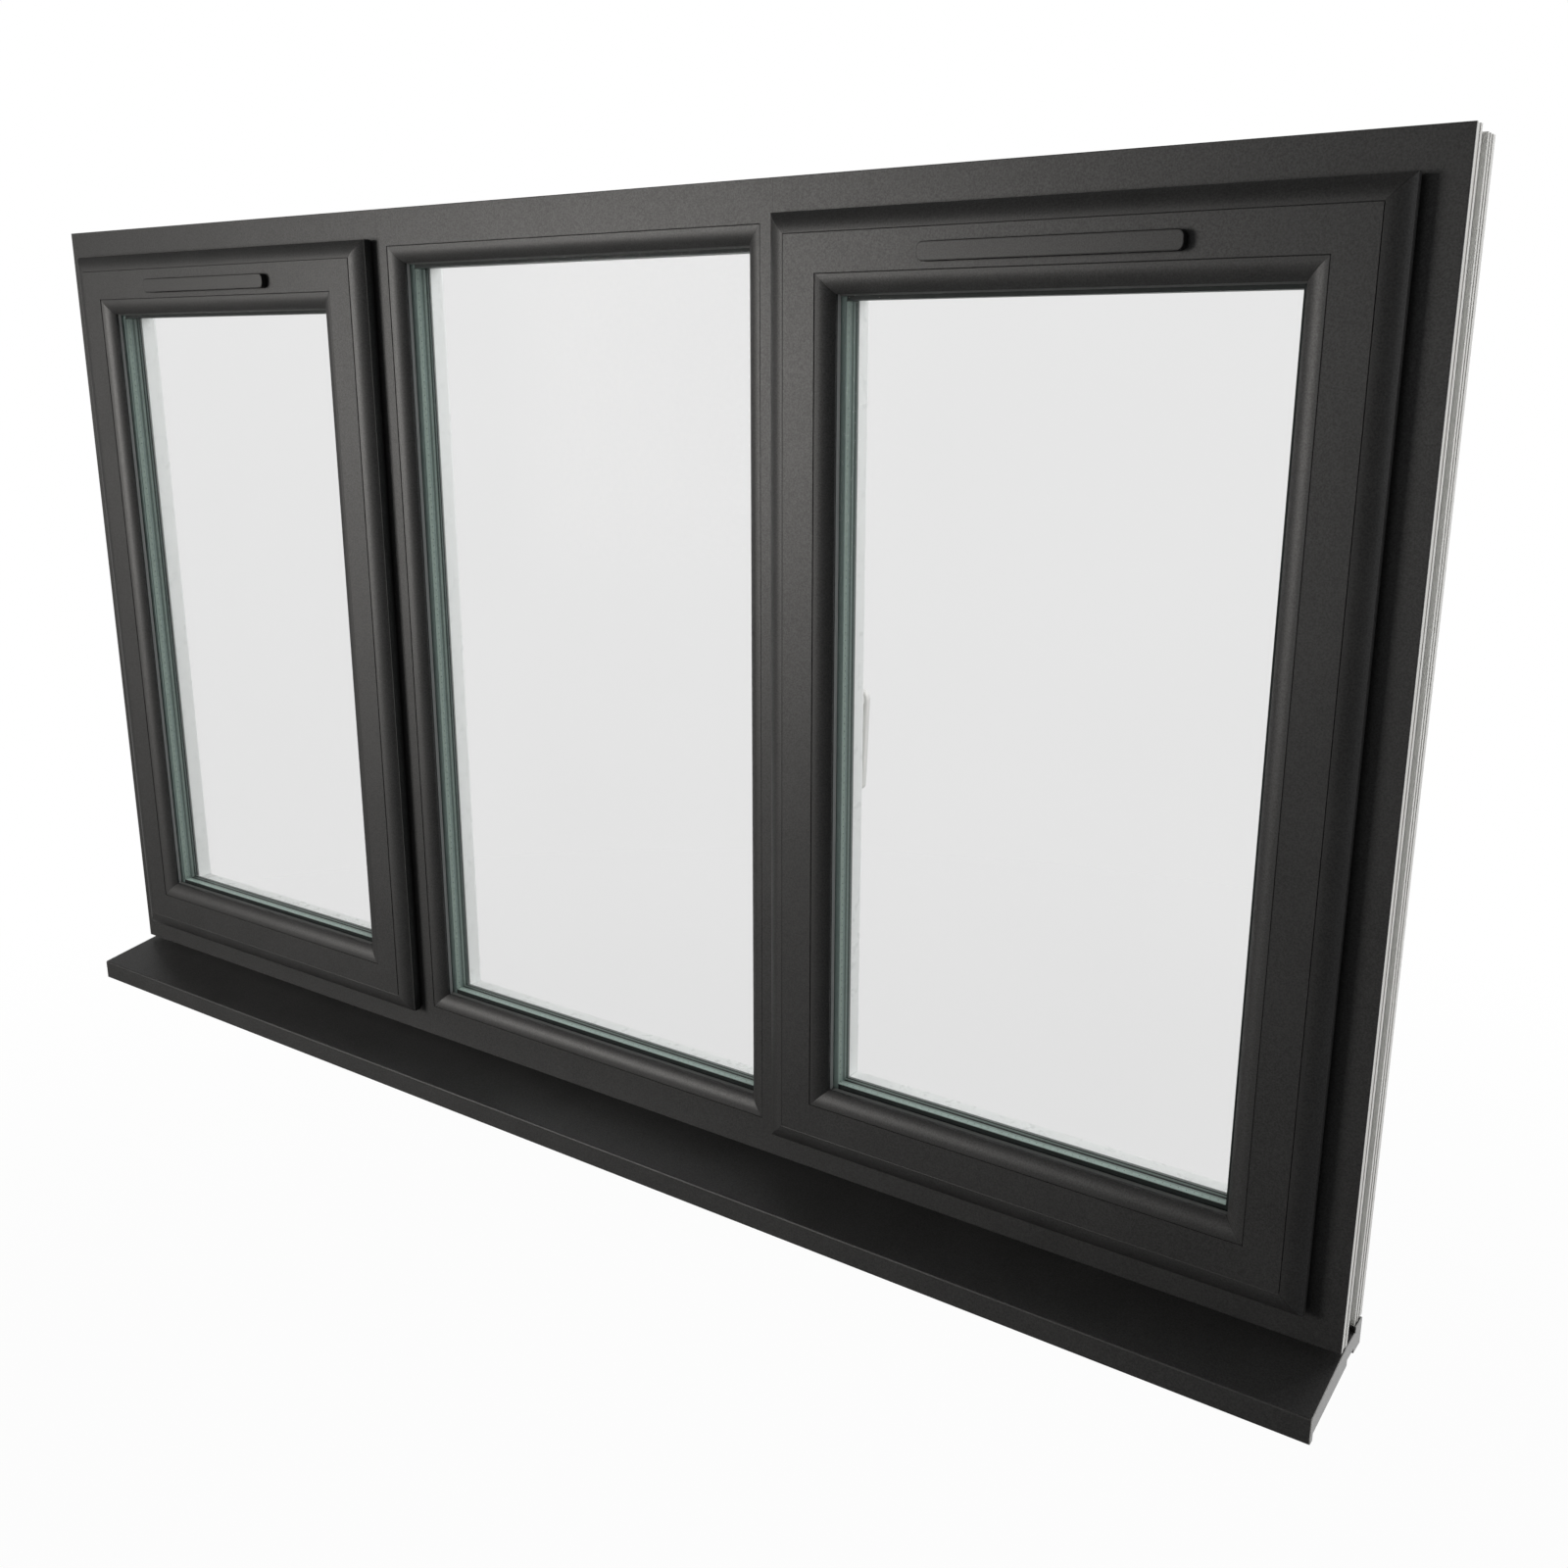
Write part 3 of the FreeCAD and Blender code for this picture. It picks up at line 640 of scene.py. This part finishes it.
def flap_grip(side):
    """Ribbed finger grip in the middle of a vent's closing flap."""
    low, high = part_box(side + "_vent_control")
    middle = ((low.x + high.x) / 2, high.y, (low.z + high.z) / 2)
    bpy.ops.object.select_all(action="DESELECT")
    facing = (-math.pi / 2, 0.0, 0.0)
    bpy.ops.mesh.primitive_grid_add(
        x_subdivisions=GRIP_RIBS, y_subdivisions=1, size=1.0, location=middle, rotation=facing
    )
    piece = bpy.context.object
    piece.name = side + "_flap_grip"
    piece.scale = (GRIP_LENGTH, GRIP_HEIGHT, 1.0)
    begin_edit()
    bpy.ops.mesh.select_all(action="SELECT")
    bpy.ops.mesh.extrude_region_move(TRANSFORM_OT_translate={"value": (0.0, GRIP_BASE, 0.0)})
    pitch = GRIP_LENGTH / GRIP_RIBS
    start_x = middle[0] - GRIP_LENGTH / 2

    def rib(face):
        return face.normal.y > 0.9 and int((face.center.x - start_x) / pitch) % 2 == 0

    pick(piece, "FACE", rib)
    bpy.ops.mesh.extrude_region_move(TRANSFORM_OT_translate={"value": (0.0, RIB_HEIGHT, 0.0)})
    bpy.ops.mesh.bevel(offset=RIB_EDGE, segments=2)
    end_edit(piece, white_pvc)


lock_steel = brushed_steel("turned_nickel_lock", "#b4b3ae", "#cbcac5", 0.28)
for light in LIGHTS:
    bead_lip(light)
    butyl_seal(light)
for side in CASEMENTS:
    flipper_seal(side)
    key_lock(side)
    flap_grip(side)


# Camera at the photograph's viewing angle, solved from the frame's edges
PHOTO_FOCAL, PHOTO_SIDE = 1580.14, 1600.0
CAMERA_PLACE = (1.166911, -1.292565, 0.860825)
CAMERA_YAW, CAMERA_PITCH, CAMERA_ROLL = 35.372, 15.284, 0.0618
camera_data = bpy.data.cameras.new("photo_camera")
camera_data.sensor_width = 36.0
camera_data.lens = camera_data.sensor_width * PHOTO_FOCAL / PHOTO_SIDE
camera = bpy.data.objects.new("photo_camera", camera_data)
scene.collection.objects.link(camera)
turn = Matrix.Rotation(math.radians(CAMERA_YAW), 4, "Z")
turn = turn @ Matrix.Rotation(math.pi / 2 - math.radians(CAMERA_PITCH), 4, "X")
turn = turn @ Matrix.Rotation(math.radians(CAMERA_ROLL), 4, "Z")
camera.matrix_world = Matrix.Translation(CAMERA_PLACE) @ turn
scene.camera = camera

# Pale floor well below the sill, as for a window shown hanging at its height in a wall
FLOOR_SIZE = 40.0
FLOOR_DROP = 0.9
FLOOR_SHADE = 0.03
SHADE_NEAR, SHADE_FAR = 1.5, 4.0
bpy.ops.object.select_all(action="DESELECT")
bpy.ops.mesh.primitive_plane_add(size=FLOOR_SIZE, location=(0.0, 0.0, cad_box[0].z - FLOOR_DROP))
floor = bpy.context.object
floor.name = "studio_floor"
bpy.ops.object.transform_apply(location=True)


def white_to_sight(tree, behind):
    """1 for rays that show the white sweep: those of the camera, through glass, and mirrored from behind."""
    path = add(tree, "LightPath").outputs
    mirrored = calc(tree, "MULTIPLY", path["Is Glossy Ray"], behind)
    seen = calc(tree, "MAXIMUM", path["Is Camera Ray"], path["Is Transmission Ray"])
    return calc(tree, "MAXIMUM", seen, mirrored)


floor_paint, tree, matt, place, (_, across, _) = start("pale_studio_floor")
feed(tree, matt, {"Base Color": linear("#858585"), "Roughness": 0.9})
behind = spread(tree, across, (0.0, 0.6), kind="SMOOTHSTEP")
far = add(tree, "VectorMath", {0: place}, operation="LENGTH").outputs["Value"]
white = spread(tree, far, (SHADE_NEAR, SHADE_FAR), (1 - FLOOR_SHADE, 1.0), "SMOOTHSTEP")
share = calc(tree, "MULTIPLY", white_to_sight(tree, behind), white)
glow = add(tree, "Emission", {"Color": linear("#ffffff"), "Strength": 1.0}).outputs[0]
surface = add(tree, "MixShader", {0: share, 1: matt.outputs[0], 2: glow}).outputs[0]
feed(tree, tree.nodes["Material Output"], {"Surface": surface})
floor.data.materials.append(floor_paint)

# White studio: a bright sweep behind the window, a dimmer room in front of it, and a ceiling that is dark
# over the room and lighter over the sweep
BACKDROP, ROOM, CEILING, BACK_CEILING = 0.5, 0.2, 0.2, 0.7
world = bpy.data.worlds.new("white_studio")
scene.world = world
world.use_nodes = True
tree = world.node_tree
way = add(tree, "SeparateXYZ", {0: add(tree, "TexCoord").outputs["Generated"]}).outputs
behind = spread(tree, way["Y"], (0.05, 0.55), kind="SMOOTHSTEP")
level = spread(tree, behind, target=(ROOM, BACKDROP))
over = spread(tree, behind, target=(CEILING, BACK_CEILING))
ceiling = spread(tree, way["Z"], (0.1, 0.7), (1.0, over), "SMOOTHSTEP")
level = calc(tree, "MULTIPLY", level, ceiling)
strength = calc(tree, "MAXIMUM", level, white_to_sight(tree, behind))
feed(tree, tree.nodes["Background"], {"Color": linear("#ffffff"), "Strength": strength})


def soft_light(name, place, aim, size, power, colour="#ffffff"):
    """A rectangular soft box, kept out of the camera's sight and out of what shows through the panes."""
    data = bpy.data.lights.new(name, "AREA")
    data.shape = "RECTANGLE"
    data.size, data.size_y = size
    data.energy = power
    data.color = linear(colour)[:3]
    lamp = bpy.data.objects.new(name, data)
    scene.collection.objects.link(lamp)
    place = Vector(place)
    turn = (Vector(aim) - place).to_track_quat("-Z", "Y").to_matrix().to_4x4()
    lamp.matrix_world = Matrix.Translation(place) @ turn
    lamp.visible_camera = False
    lamp.visible_transmission = False
    return lamp


def feather(lamp, edges):
    """Fade a lamp towards its edges, so that the panes mirror it without an outline."""
    lamp.data.use_nodes = True
    tree = lamp.data.node_tree
    parts = add(tree, "SeparateXYZ", {0: add(tree, "NewGeometry").outputs["Position"]}).outputs
    strength = 1.0
    for axis, outside, inside in edges:
        fade = spread(tree, parts[axis], (outside, inside), kind="SMOOTHSTEP")
        strength = calc(tree, "MULTIPLY", strength, fade)
    feed(tree, tree.nodes["Emission"], {"Strength": strength})


panel = soft_light(
    "left_front_panel",
    place=(-1.675, -2.445, 0.84), aim=(0.151, -0.065, 0.84), size=(1.35, 1.4), power=120.0, colour="#fffcf8",
)
feather(panel, (("X", -2.21, -1.95), ("X", -1.14, -1.4), ("Z", 0.14, 0.44), ("Z", 1.54, 1.24)))
soft_light("front_glow", place=(-0.1, -3.3, 1.0), aim=(0.0, 0.0, 0.8), size=(1.4, 1.6), power=5.0)
soft_light("right_side_fill", place=(3.2, 0.6, 0.9), aim=(0.3, 0.0, 0.5), size=(1.5, 1.5), power=32.0)
room = soft_light("room_side_fill", place=(1.1, 1.6, 2.1), aim=(-0.1, 0.0, 0.4), size=(1.6, 1.6), power=46.0)
room.visible_glossy = False

scene.view_settings.view_transform = "Standard"
